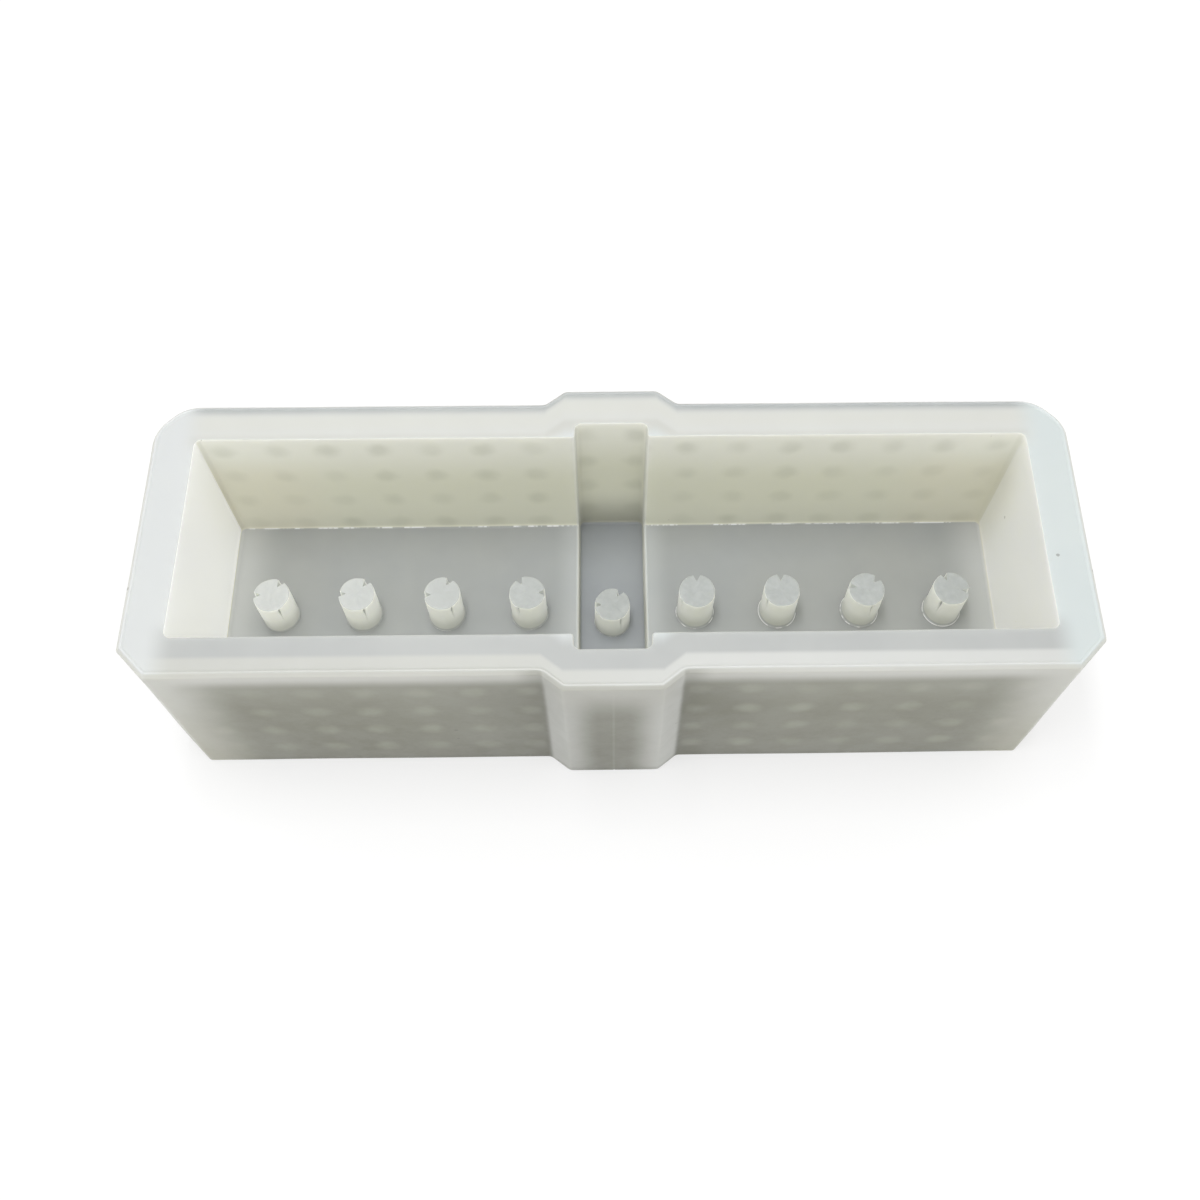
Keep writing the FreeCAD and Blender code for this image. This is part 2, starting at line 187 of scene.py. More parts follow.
def offset_corners(corners, inset):
    """The corners of an outline (anticlockwise) moved in by an inset, or out if it is negative."""
    count = len(corners)
    moved = []
    for k in range(count):
        before = (corners[k] - corners[k - 1]).normalized()
        after = (corners[(k + 1) % count] - corners[k]).normalized()
        normal_before = Vector((-before.y, before.x))
        normal_after = Vector((-after.y, after.x))
        share = 1.0 + normal_before.dot(normal_after)
        moved.append(corners[k] + (normal_before + normal_after) * (inset / share))
    return moved


def corner_arc(corner, before, after, radius, steps):
    """Points of the arc that rounds a corner, from the side it comes in by to the side it leaves by."""
    coming = (corner - before).normalized()
    leaving = (after - corner).normalized()
    turn = -coming.angle_signed(leaving, 0.0)
    reach = radius * math.tan(abs(turn) / 2)
    start = corner - coming * reach
    side = 1.0 if turn > 0 else -1.0
    centre = start + Vector((-coming.y, coming.x)) * (radius * side)
    spoke = start - centre
    points = []
    for k in range(steps + 1):
        spin = Matrix.Rotation(turn * k / steps, 2)
        points.append(centre + spin @ spoke)
    return points


def rounded_outline(corners, radii, steps, divisions, inset=0.0):
    """A closed outline with every corner rounded and every straight stretch divided."""
    moved = offset_corners(corners, inset)
    count = len(moved)
    arcs = []
    for k in range(count):
        before, corner, after = moved[k - 1], moved[k], moved[(k + 1) % count]
        coming = corner - before
        leaving = after - corner
        grows = coming.x * leaving.y - coming.y * leaving.x < 0
        radius = max(radii[k] + (inset if grows else -inset), LEAST_RADIUS)
        arcs.append(corner_arc(corner, before, after, radius, steps))
    points = []
    for k in range(count):
        points.extend(arcs[k])
        start, end = arcs[k][-1], arcs[(k + 1) % count][0]
        for part in range(1, divisions[k]):
            points.append(start.lerp(end, part / divisions[k]))
    return points


def block_corners(block):
    """The sixteen corners of the block's outline, anticlockwise, with a radius for each."""
    half_length = BLOCK_HIGH.x
    reach = BLOCK_HIGH.y
    half_width = reach - block.collar_reach
    chamfer = block.corner_chamfer
    base = block.collar_base / 2
    face = block.collar_face / 2
    quarter = [
        (half_length, half_width - chamfer),
        (half_length - chamfer, half_width),
        (base, half_width),
        (face, reach),
    ]
    back = [Vector(point) for point in quarter]
    back += [Vector((-x, y)) for x, y in reversed(quarter)]
    front = [Vector((-point.x, -point.y)) for point in back]
    radii = []
    for shoulder in (block.back_shoulder, block.front_shoulder):
        radii += [shoulder, shoulder] + [COLLAR_ROUND] * 4 + [shoulder, shoulder]
    return back + front, radii


# ---------------------------------------------------------------- mesh helpers


def ring_sheet(bm, rings):
    """Joins closed rings of as many points each into one sheet and returns the rings' vertices."""
    made = [[bm.verts.new(point) for point in ring] for ring in rings]
    for low, high in zip(made, made[1:]):
        count = len(low)
        for k in range(count):
            after = (k + 1) % count
            bm.faces.new((low[k], low[after], high[after], high[k]))
    return made


def grid_sheet(bm, columns):
    """Joins columns of as many points each into one open sheet."""
    made = [[bm.verts.new(point) for point in column] for column in columns]
    for left, right in zip(made, made[1:]):
        for k in range(len(left) - 1):
            bm.faces.new((left[k], left[k + 1], right[k + 1], right[k]))
    return made


def flat_face(bm, points):
    """One flat face through the points."""
    return bm.faces.new([bm.verts.new(point) for point in points])


def quarter_turn(steps):
    """Angles from 0 to a right angle."""
    return [math.pi / 2 * k / steps for k in range(steps + 1)]


def split_by_planes(bm, axis, places):
    """Cuts the mesh by planes across one axis, so that broad faces can bend."""
    direction = Vector([1.0 if k == axis else 0.0 for k in range(3)])
    for place in places:
        everything = bm.verts[:] + bm.edges[:] + bm.faces[:]
        bmesh.ops.bisect_plane(
            bm, geom=everything, dist=WELD, plane_co=direction * place, plane_no=direction)


def spaced(low, high, pitch):
    """Evenly spaced places between two ends, both left out."""
    count = max(int((high - low) / pitch + 0.5), 1)
    return [low + (high - low) * k / count for k in range(1, count)]


def finished_piece(name, bm, material, nodes):
    """Turns a bmesh into a piece that rides on the part and stands for its CAD nodes."""
    bmesh.ops.recalc_face_normals(bm, faces=bm.faces)
    mesh = bpy.data.meshes.new(name)
    bm.to_mesh(mesh)
    bm.free()
    mesh.shade_smooth()
    mesh.materials.append(material)
    piece = bpy.data.objects.new(name, mesh)
    bpy.context.scene.collection.objects.link(piece)
    evened = piece.modifiers.new("even_normals", "WEIGHTED_NORMAL")
    evened.weight = 80
    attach(piece, BODY)
    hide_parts(*nodes)
    return piece


# ---------------------------------------------------------------- the block


class Cavity:
    """One quarter of the cavity and channel, which is the same in all four quarters."""

    def __init__(self, block):
        self.half_length = BLOCK_HIGH.x - block.end_wall
        self.half_width = BLOCK_HIGH.y - block.collar_reach - block.side_wall
        self.channel = block.channel_width / 2
        self.channel_end = self.half_width + block.collar_reach
        self.rim = BLOCK_HIGH.z - block.crest_height
        self.floor = block.floor_level
        self.channel_floor = block.channel_level
        self.corner = block.inner_corner
        self.fillet = block.floor_fillet
        self.mouth = block.mouth_round
        self.rim_round = block.rim_round
        self.top = self.rim - self.rim_round
        self.angles = quarter_turn(5)

    def plan_arc(self, centre, radius, start, end):
        """(place, direction into the cavity) along a rounded upright corner."""
        steps = 6
        stations = []
        for k in range(steps + 1):
            angle = start + (end - start) * k / steps
            out = Vector((math.cos(angle), math.sin(angle)))
            stations.append((centre + out * radius, -out))
        return stations

    def channel_stations(self):
        """Stations round the channel's end, from its middle to its side."""
        centre = Vector((self.channel - self.corner, self.channel_end - self.corner))
        middle = (Vector((0, self.channel_end)), Vector((0, -1)))
        return [middle] + self.plan_arc(centre, self.corner, math.pi / 2, 0)

    def mouth_stations(self):
        """Stations round the mouth's corner, from the channel's side to the long wall."""
        centre = Vector((self.channel + self.mouth, self.half_width + self.mouth))
        turned = self.plan_arc(centre, self.mouth, math.pi, math.pi * 1.5)
        return [(place, -inward) for place, inward in turned]

    def wall_stations(self):
        """Stations from the mouth along the long wall and round to the middle of the end wall."""
        centre = Vector((self.half_length - self.corner, self.half_width - self.corner))
        first = (Vector((self.channel + self.mouth, self.half_width)), Vector((0, -1)))
        last = (Vector((self.half_length, 0)), Vector((-1, 0)))
        return [first] + self.plan_arc(centre, self.corner, math.pi / 2, 0) + [last]

    def column(self, station, floor):
        """Points down a wall, round its fillet and on to the floor."""
        place, inward = station
        points = [(place.x, place.y, self.top)]
        for angle in self.angles:
            out = self.fillet * (1 - math.cos(angle))
            drop = self.fillet * (1 - math.sin(angle))
            foot = place + inward * out
            points.append((foot.x, foot.y, floor + drop))
        return points

    def mouth_column(self, station):
        """Points down the flared mouth, round its fillet and across the floor to the middle."""
        place = station[0]
        flare = place.y - self.half_width
        centre_y = self.half_width - self.fillet
        radius = self.fillet + flare
        points = [(place.x, place.y, self.top)]
        for angle in self.angles:
            y = centre_y + radius * math.cos(angle)
            z = self.floor + self.fillet - radius * math.sin(angle)
            points.append((place.x, y, z))
        points.append((place.x, 0, self.floor - flare))
        return points

    def build(self, bm):
        """Adds the quarter's walls, floors and rounded rim edge."""
        channel = self.channel_stations()
        mouth = self.mouth_stations()
        wall = self.wall_stations()
        channel_columns = [self.column(station, self.channel_floor) for station in channel]
        mouth_columns = [self.mouth_column(station) for station in mouth]
        wall_columns = [self.column(station, self.floor) for station in wall]
        for columns in (channel_columns, mouth_columns, wall_columns):
            grid_sheet(bm, columns)

        side_foot = [(x, 0, z) for x, y, z in channel_columns[-1][1:]]
        grid_sheet(bm, [channel_columns[-1][1:], side_foot])
        flat_face(bm, channel_columns[-1][:2] + side_foot[:1] + mouth_columns[0][::-1])
        channel_edge = [column[-1] for column in channel_columns]
        flat_face(bm, channel_edge + [side_foot[-1], (0, 0, self.channel_floor)])
        floor_edge = [column[-1] for column in wall_columns]
        flat_face(bm, floor_edge + [(self.channel + self.mouth, 0, self.floor)])

        columns = []
        for place, inward in channel + mouth + wall:
            column = []
            for angle in self.angles:
                away = place - inward * (self.rim_round * (1 - math.cos(angle)))
                column.append((away.x, away.y, self.top + self.rim_round * math.sin(angle)))
            columns.append(column)
        grid_sheet(bm, columns)


def mirrored_quarters(bm):
    """Repeats a quarter's mesh on the other three quarters."""
    for axis in range(2):
        flip = Matrix.Scale(-1, 4, Vector([1.0 if k == axis else 0.0 for k in range(3)]))
        copy = bmesh.ops.duplicate(bm, geom=bm.verts[:] + bm.edges[:] + bm.faces[:])
        verts = [item for item in copy["geom"] if isinstance(item, bmesh.types.BMVert)]
        bmesh.ops.transform(bm, matrix=flip, verts=verts)
    bmesh.ops.remove_doubles(bm, verts=bm.verts[:], dist=WELD)


def outer_shell(bm, block):
    """The outside of the block, from the base up over the bevel and the crest to the rim."""
    corners, radii = block_corners(block)
    divisions = [1] * len(corners)
    top = BLOCK_HIGH.z
    rim = top - block.crest_height
    bevel = block.rim_bevel
    crest = block.crest_width
    profile = []
    for angle in quarter_turn(4):
        inset = block.base_round * (1 - math.sin(angle))
        profile.append((inset, block.base_round * (1 - math.cos(angle))))
    profile += [
        (0.0, top - bevel - 0.5 * MM),
        (0.06 * MM, top - bevel - 0.15 * MM),
        (0.22 * MM, top - bevel + 0.12 * MM),
        (bevel - 0.3 * MM, top - 0.36 * MM),
        (bevel - 0.08 * MM, top - 0.12 * MM),
        (bevel + 0.14 * MM, top),
        (bevel + crest * 0.45, top - 0.03 * MM),
        (bevel + crest * 0.75, top - 0.2 * MM),
        (bevel + crest, rim + 0.06 * MM),
        (bevel + crest + 0.25 * MM, rim),
    ]
    rings = []
    for inset, z in profile:
        outline = rounded_outline(corners, radii, 6, divisions, inset)
        rings.append([(point.x, point.y, z) for point in outline])
    made = ring_sheet(bm, rings)
    bm.faces.new(list(reversed(made[0])))
    return rim


def fill_rim(bm, rim):
    """Closes the rim's flat top between the crest and the cavity."""
    loose = []
    for edge in bm.edges:
        level = all(abs(vert.co.z - rim) < WELD for vert in edge.verts)
        if level and len(edge.link_faces) == 1:
            loose.append(edge)
    bmesh.ops.triangle_fill(bm, edges=loose, use_beauty=True, use_dissolve=False)


def sway_block(bm, block):
    """Lets the soft block stray a little from true, inside the box of the part."""
    broad = 45 * MM
    fine = 7 * MM
    crest = BLOCK_HIGH.z - block.crest_height + 0.02 * MM
    # the vector noise takes its offsets from this seed, or from the clock without one
    noise.seed_set(SWAY_SEED)
    for vert in bm.verts:
        shift = noise.noise_vector(vert.co / broad) * block.sway
        if vert.co.z > crest:
            shift.z -= abs(noise.noise(vert.co / fine)) * block.sway * 0.6
        moved = vert.co + shift
        for axis in range(3):
            moved[axis] = min(max(moved[axis], BLOCK_LOW[axis]), BLOCK_HIGH[axis])
        vert.co = moved


def part_line(bm):
    """The fine upright line on the front collar where the two halves of the master met."""
    half = 0.45 * MM
    split_by_planes(bm, 0, (-half, 0.0, half))
    face = -BLOCK_HIGH.y
    for vert in bm.verts:
        on_line = abs(vert.co.x) < half / 2 and vert.co.y < face + 4 * MM
        if on_line:
            vert.co.y += 0.12 * MM


class MOULD_OT_block(bpy.types.Operator):
    """Build the silicone block"""

    bl_idname = "mould.block"
    bl_label = "Silicone block"

    def execute(self, context):
        block = context.scene.mould_block
        bm = bmesh.new()
        Cavity(block).build(bm)
        mirrored_quarters(bm)
        rim = outer_shell(bm, block)
        bmesh.ops.remove_doubles(bm, verts=bm.verts[:], dist=WELD)
        fill_rim(bm, rim)
        part_line(bm)
        pitch = 9 * MM
        for axis in range(3):
            split_by_planes(bm, axis, spaced(BLOCK_LOW[axis], BLOCK_HIGH[axis], pitch))
        bmesh.ops.remove_doubles(bm, verts=bm.verts[:], dist=5 * WELD)
        sway_block(bm, block)
        open_edges = [edge for edge in bm.edges if len(edge.link_faces) != 2]
        if open_edges:
            raise RuntimeError("the block's mesh has %d open edges" % len(open_edges))
        material = silicone_block_material(context.scene)
        finished_piece("silicone_block", bm, material, [BLOCK_NODE])
        return {"FINISHED"}


# ---------------------------------------------------------------- the posts


def slit_shape(offset, width):
    """How deep a slit is across its width: 1 in the middle and 0 past its edges."""
    share = abs(offset) / (width / 2)
    return 0.0 if share >= 1 else (1 - share ** 1.8)


def post_angles(turn, radius, width):
    """Angles round a post, closer together at its slits."""
    marks = [-0.62, -0.5, -0.42, -0.32, -0.21, -0.1, 0.0, 0.1, 0.21, 0.32, 0.42, 0.5, 0.62]
    third = 2 * math.pi / SLITS
    half = marks[-1] * width / radius
    steps = 22
    angles = []
    for slit in range(SLITS):
        centre = turn + slit * third
        angles += [centre + mark * width / radius for mark in marks]
        room = third - 2 * half
        angles += [centre + half + room * k / steps for k in range(1, steps)]
    return angles


def post_mesh(low, high, floor, turn, posts, seed, foot):
    """A slit post with a torn top, from just under the floor up."""
    centre = Vector(((low.x + high.x) / 2, (low.y + high.y) / 2, 0))
    radius = (high.x - low.x) / 2
    angles = post_angles(turn, radius, posts.slit_width)
    third = 2 * math.pi / SLITS
    top = high.z - posts.tear
    seed_shift = Vector((seed * 3.7, seed * 1.9, seed * 5.3))

    def side_radius(angle, z):
        """The post's radius at an angle and a height, slits included."""
        below = min(max((high.z - z) / posts.slit_length, 0.0), 1.0)
        ease = 1 - below ** 2.2
        offset = ((angle - turn + third / 2) % third - third / 2) * radius
        towards_back = math.sin(angle - offset / radius)
        # slits open widest on the side away from the front wall
        gape = 1.0 if towards_back > 0.3 else 0.85 if towards_back > -0.3 else 0.25
        narrow = 0.18 + 0.82 * gape * math.exp(-(below / 0.5) ** 4)
        depth = posts.slit_depth * ease * narrow ** 0.4 * slit_shape(offset, posts.slit_width * narrow)
        if towards_back < -0.3:
            depth *= min(max((high.z - z) / (2 * MM) - 0.4, 0.0), 1.0)
        uneven = 0.08 * MM + 0.14 * MM * max(0.0, 1 - (high.z - z) / (2 * MM))
        place = Vector((1.6 * math.cos(angle), 1.6 * math.sin(angle), z * 200))
        return radius - uneven * (1 - noise.noise(place + seed_shift)) - depth

    def torn(x, y):
        """How far the torn top stands off its mean at a place."""
        place = Vector((x, y, 0))
        broad = noise.noise(place / (3.2 * MM) + seed_shift)
        fine = noise.noise(place / (0.9 * MM) + seed_shift)
        return posts.tear * (0.7 * broad + 0.42 * fine)

    levels = [(floor - 0.5 * MM, foot), (floor, foot)]
    for angle in quarter_turn(4)[1:]:
        levels.append((floor + foot * (1 - math.cos(angle)) + 0.02 * MM, foot * (1 - math.sin(angle))))
    steps = 16
    start = floor + foot + 0.1 * MM
    for k in range(1, steps):
        levels.append((start + (top - 0.5 * MM - start) * k / steps, 0.0))
    rings = []
    for z, spread in levels:
        ring = []
        for angle in angles:
            reach = side_radius(angle, z) + spread
            ring.append(centre + Vector((reach * math.cos(angle), reach * math.sin(angle), z)))
        rings.append(ring)
    cap = [(1.0, 0.22 * MM), (0.985, 0.06 * MM)]
    cap += [(share, 0.0) for share in (0.95, 0.86, 0.74, 0.6, 0.46, 0.32, 0.16, 0.05)]
    for share, drop in cap:
        ring = []
        for angle in angles:
            reach = side_radius(angle, top) * share
            x = reach * math.cos(angle)
            y = reach * math.sin(angle)
            ring.append(centre + Vector((x, y, min(top - drop + torn(x, y), high.z))))
        rings.append(ring)
    bm = bmesh.new()
    made = ring_sheet(bm, rings)
    bm.faces.new(list(reversed(made[0])))
    bm.faces.new(made[-1])
    return bm


class MOULD_OT_posts(bpy.types.Operator):
    """Build the slit core posts"""

    bl_idname = "mould.posts"
    bl_label = "Core posts"

    def execute(self, context):
        posts = context.scene.mould_posts
        block = context.scene.mould_block
        for number, node in enumerate(POST_NODES):
            low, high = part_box(node)
            middle = node == MIDDLE_POST
            floor = block.channel_level if middle else block.floor_level
            foot = 0.25 * MM if middle else posts.foot_round
            turn = math.radians(posts.turns[number])
            bm = post_mesh(low, high, floor, turn, posts, number + 1, foot)
            material = post_material(context.scene, node, floor, (low + high) / 2, high)
            finished_piece("slit_post_%d" % (number + 1), bm, material, [node])
        return {"FINISHED"}


# ---------------------------------------------------------------- materials

# linear colours, by where the silicone lies, with painted light and shade in many of them
# rim, front to back and left to right
RIM_BACK = (0.59, 0.597, 0.57)
RIM_FRONT_RIGHT = (0.585, 0.592, 0.575)
RIM_FRONT_LEFT = (0.525, 0.53, 0.50)
RIM_FRONT_INNER = (0.44, 0.452, 0.445)
RIM_BY_CAVITY = (0.44, 0.44, 0.40)
RIM_END_RIGHT = (0.575, 0.62, 0.615)
# outer walls, from the rim down: a painted lit band under the rim, then painted shade that darkens to the
# base
WALL_LIT_BAND = (0.60, 0.60, 0.56)
WALL_SHADE_UPPER = (0.26, 0.26, 0.205)
WALL_SHADE_MIDDLE = (0.195, 0.195, 0.14)
# painted shade at the foot of the outer walls
WALL_FOOT_SHADE = (0.09, 0.09, 0.07)
# painted shade in the nooks and creases beside the collars
WALL_NOOK_SHADE = (0.11, 0.11, 0.075)
WALL_HOLE = (0.36, 0.365, 0.29)
# clear walls past the boards, with painted shade that darkens them towards the base
CLEAR_HIGH = (0.60, 0.60, 0.55)
CLEAR_SHADED_LOW = (0.40, 0.395, 0.32)
COLLAR_RIGHT = (0.50, 0.505, 0.47)
COLLAR_LEFT = (0.42, 0.425, 0.39)
COLLAR_CROWN = (0.46, 0.46, 0.415)
PART_LINE = (0.50, 0.50, 0.45)
# cavity and channel: the walls painted bright with light coming through the silicone, lightest near the
# rim
INNER_LIT_HIGH = (0.90, 0.90, 0.84)
INNER_LIT_MIDDLE = (0.80, 0.80, 0.675)
INNER_LIT_LOW = (0.80, 0.80, 0.685)
INNER_HOLE = (0.42, 0.43, 0.33)
INNER_WARM = (0.82, 0.77, 0.64)
# painted light on the inner faces of the end walls
INNER_END_LIT = (0.93, 0.935, 0.915)
# painted shade low on the channel's walls
CHANNEL_LOW_SHADE = (0.40, 0.40, 0.335)
CHANNEL_SIDE = (0.70, 0.70, 0.65)
FLOOR_PATCH = (0.365, 0.375, 0.37)
FLOOR_BY_CHANNEL = (0.62, 0.65, 0.66)
# painted light on the floor next to the end walls
FLOOR_LIT_BY_END = (0.80, 0.81, 0.79)
# painted shade on the channel's floor, darker towards its ends
CHANNEL_FLOOR_SHADE_MIDDLE = (0.345, 0.365, 0.39)
CHANNEL_FLOOR_SHADE_END = (0.30, 0.318, 0.335)
# painted highlight along the channel's mouth and the floor's fillet
LIT_EDGE = (0.97, 0.98, 0.97)
SPECK = (0.12, 0.11, 0.09)
# light that comes through the walls and the posts
GLOW_LOW = (0.005, 0.005, 0.004)
GLOW_HIGH = (0.07, 0.07, 0.062)
GLOW_END_RIGHT = (0.085, 0.085, 0.083)
GLOW_END_LEFT = (0.23, 0.23, 0.23)
GLOW_POST = (0.9, 0.9, 0.86)
# posts and boards
POST_PATCH = (0.78, 0.80, 0.78)
# painted light: the torn tops lighter on the posts to the left
TORN_LIT_LEFT = (0.60, 0.615, 0.605)
TORN_FLECK = (0.52, 0.54, 0.535)
POST_SLIT = (0.60, 0.62, 0.60)
POST_SKIRT = (0.45, 0.465, 0.455)
# painted highlight: broken bright ring at each post's foot
POST_RING_HIGHLIGHT = (0.85, 0.86, 0.84)
BOARD_FLECK = (0.74, 0.71, 0.58)
BOARD_WORN = (0.84, 0.82, 0.72)


class Finish:
    """Adds the nodes of one material, one call for each step."""

    def __init__(self, name):
        self.material = bpy.data.materials.new(name)
        self.material.use_nodes = True
        self.tree = self.material.node_tree
        self.shader = self.tree.nodes["Principled BSDF"]
        place = self.tree.nodes.new("ShaderNodeTexCoord")
        self.place = place.outputs["Object"]
        self.facing = place.outputs["Normal"]

    def put(self, socket, value):
        """Links a socket to another one or sets its own value."""
        if isinstance(value, bpy.types.NodeSocket):
            self.tree.links.new(value, socket)
        elif hasattr(value, "__len__") and len(value) == 3 and socket.type == "RGBA":
            socket.default_value = (*value, 1.0)
        else:
            socket.default_value = value

    def shade(self, name, value):
        """Gives one of the shader's inputs a value or a link."""
        self.put(self.shader.inputs[name], value)

    def math(self, operation, a, b=0.0, clamp=False):
        """One sum."""
        node = self.tree.nodes.new("ShaderNodeMath")
        node.operation = operation
        node.use_clamp = clamp
        self.put(node.inputs[0], a)
        self.put(node.inputs[1], b)
        return node.outputs[0]

    def times(self, a, b):
        """Two values multiplied."""
        return self.math("MULTIPLY", a, b)

    def split(self, vector):
        """The three parts of a vector."""
        node = self.tree.nodes.new("ShaderNodeSeparateXYZ")
        self.put(node.inputs[0], vector)
        return node.outputs[0], node.outputs[1], node.outputs[2]

    def ramp(self, value, low, high, start=0.0, end=1.0):
        """A smooth step of a value from start at low to end at high."""
        node = self.tree.nodes.new("ShaderNodeMapRange")
        node.interpolation_type = "SMOOTHSTEP"
        parts = {"Value": value, "From Min": low, "From Max": high, "To Min": start, "To Max": end}
        for socket, part in parts.items():
            self.put(node.inputs[socket], part)
        return node.outputs["Result"]

    def mix(self, share, first, second):
        """A colour between two others."""
        node = self.tree.nodes.new("ShaderNodeMix")
        node.data_type = "RGBA"
        self.put(node.inputs["Factor"], share)
        self.put(node.inputs[6], first)
        self.put(node.inputs[7], second)
        return node.outputs[2]

    def cloud(self, scale, detail=2.0, roughness=0.5, stretch=None):
        """Soft noise between 0 and 1, by place."""
        place = self.place
        if stretch is not None:
            mapping = self.tree.nodes.new("ShaderNodeMapping")
            self.put(mapping.inputs["Vector"], place)
            mapping.inputs["Scale"].default_value = stretch
            place = mapping.outputs[0]
        node = self.tree.nodes.new("ShaderNodeTexNoise")
        self.put(node.inputs["Vector"], place)
        node.inputs["Scale"].default_value = scale
        node.inputs["Detail"].default_value = detail
        node.inputs["Roughness"].default_value = roughness
        return node.outputs["Fac"]

    def bump(self, height, distance, strength=1.0, under=None):
        """A bump from a height, over another bump if there is one."""
        node = self.tree.nodes.new("ShaderNodeBump")
        node.inputs["Strength"].default_value = strength
        node.inputs["Distance"].default_value = distance
        self.put(node.inputs["Height"], height)
        if under is not None:
            self.put(node.inputs["Normal"], under)
        return node.outputs["Normal"]

    def soften(self, weight, radius, scale):
        """Light that spreads under the surface."""
        self.shade("Subsurface Weight", weight)
        self.shade("Subsurface Radius", radius)
        self.shade("Subsurface Scale", scale)


class BlockPlaces:
    """Where a point of the block is: on which side, how deep, how far below the rim."""

    def __init__(self, finish, block):
        x, y, z = finish.split(finish.place)
        facing = finish.split(finish.facing)
        self.y = y
        self.z = z
        self.along = finish.math("ABSOLUTE", x)
        self.across = finish.math("ABSOLUTE", y)
        self.below = finish.math("SUBTRACT", BLOCK_HIGH.z - block.crest_height, z)
        base = block.collar_base / 2
        face = block.collar_face / 2
        self.collar_base = base
        share = finish.math("DIVIDE", finish.math("SUBTRACT", base, self.along), base - face, clamp=True)
        collar = finish.times(share, block.collar_reach)
        wall = finish.math("ADD", collar, BLOCK_HIGH.y - block.collar_reach)
        self.side_depth = finish.math("SUBTRACT", wall, self.across)
        self.end_depth = finish.math("SUBTRACT", BLOCK_HIGH.x, self.along)
        depth = finish.math("MINIMUM", self.side_depth, self.end_depth)
        to_side = finish.math("SUBTRACT", block.side_wall, self.side_depth)
        to_end = finish.math("SUBTRACT", block.end_wall, self.end_depth)
        self.to_cavity = finish.math("MAXIMUM", to_side, to_end)
        faces_up = finish.ramp(facing[2], 0.55, 0.9)
        self.on_rim = finish.times(faces_up, finish.ramp(self.below, 2 * MM, 0.8 * MM))
        self.deep = finish.ramp(depth, 4 * MM, 8 * MM)
        self.inside = finish.times(self.deep, finish.ramp(self.below, 0.12 * MM, 0.35 * MM))
        self.on_floor = finish.times(faces_up, self.inside)
        self.faces_side = finish.ramp(finish.math("ABSOLUTE", facing[1]), 0.7, 0.95)
        self.faces_end = finish.ramp(finish.math("ABSOLUTE", facing[0]), 0.7, 0.95)
        short_of_end = finish.ramp(self.along, BOARD_HIGH.x + 6 * MM, BOARD_HIGH.x - 3 * MM)
        near_side = finish.ramp(self.side_depth, block.side_wall + 6 * MM, block.side_wall)
        self.over_board = finish.times(short_of_end, near_side)
        self.at_end = finish.ramp(self.along, 100 * MM, 120 * MM)
        self.at_back = finish.ramp(y, -10 * MM, 10 * MM)
        # painted shade: the lit end walls are dimmed towards the back corners, more on the right
        shade = finish.ramp(x, -40 * MM, 40 * MM, 0.1, 0.5)
        off_corner = finish.times(finish.ramp(y, 12 * MM, 33 * MM), shade)
        off_corner = finish.math("SUBTRACT", 1.0, off_corner)
        self.end_wall = finish.times(finish.times(self.faces_end, self.at_end), off_corner)
        self.at_left = finish.ramp(x, 40 * MM, -40 * MM)


def board_holes(finish, places, boards):
    """The holes of the buried boards as soft spots, from 0 to 1."""
    pitch = boards.hole_pitch
    column = finish.math("SUBTRACT", finish.math("FRACT", finish.math("DIVIDE", places.along, pitch)), 0.5)
    first = finish.times(places.inside, boards.inner_first_row - boards.outer_first_row)
    first = finish.math("ADD", first, boards.outer_first_row)
    row = finish.math("DIVIDE", finish.math("SUBTRACT", places.below, first), pitch)
    row = finish.math("ADD", row, 0.5)
    phase = finish.math("SUBTRACT", finish.math("FRACT", row), 0.5)
    spot = finish.math("ADD", finish.math("POWER", column, 2.0), finish.math("POWER", phase, 2.0))
    spot = finish.math("SQRT", spot)
    ragged = finish.ramp(finish.cloud(170.0, 2.0), 0.3, 0.7, -0.03, 0.03)
    spot = finish.math("ADD", spot, ragged)
    size = boards.hole_show / pitch / 2
    dots = finish.ramp(spot, size * 1.55, size * 0.25)
    dots = finish.times(dots, finish.ramp(row, 0.0, 0.03))
    dots = finish.times(dots, finish.ramp(row, 4.03, 4.0))
    dots = finish.times(dots, finish.ramp(places.along, BOARD_HIGH.x, BOARD_HIGH.x - 1 * MM))
    dots = finish.times(dots, places.faces_side)
    off_collar = finish.ramp(places.along, places.collar_base, places.collar_base + 2 * MM)
    dots = finish.times(dots, finish.math("MAXIMUM", places.inside, off_collar))
    patchy = finish.ramp(finish.cloud(55.0, 1.0), 0.3, 0.7, 0.45, 1.0)
    return finish.times(dots, patchy)


def rim_tone(finish, places, block):
    """The rim: cool thin silicone at the edge, cream over the board, greyer by the cavity."""
    cover = BLOCK_HIGH.y - BOARD_HIGH.y
    board_far = cover + 5.0 * MM
    edge = finish.ramp(places.side_depth, 5.0 * MM, 0.8 * MM)
    back = finish.mix(edge, RIM_BACK, block.rim_cool)
    board = finish.math(
        "MULTIPLY", finish.ramp(places.side_depth, cover - 0.6 * MM, cover + 3.0 * MM),
        finish.ramp(places.side_depth, board_far + 1.8 * MM, board_far - 1.2 * MM))
    back = finish.mix(board, back, block.rim_warm)
    cream = finish.mix(places.at_left, RIM_FRONT_RIGHT, RIM_FRONT_LEFT)
    front = finish.mix(finish.ramp(places.side_depth, 5.0 * MM, 6.6 * MM), cream, RIM_FRONT_INNER)
    tone = finish.mix(places.at_back, front, back)
    by_cavity = finish.ramp(places.to_cavity, 2.4 * MM, 0.2 * MM, 0.0, 0.3)
    tone = finish.mix(finish.times(by_cavity, places.at_back), tone, RIM_BY_CAVITY)
    end = finish.mix(places.at_left, RIM_END_RIGHT, block.rim_end)
    return finish.mix(places.over_board, end, tone)


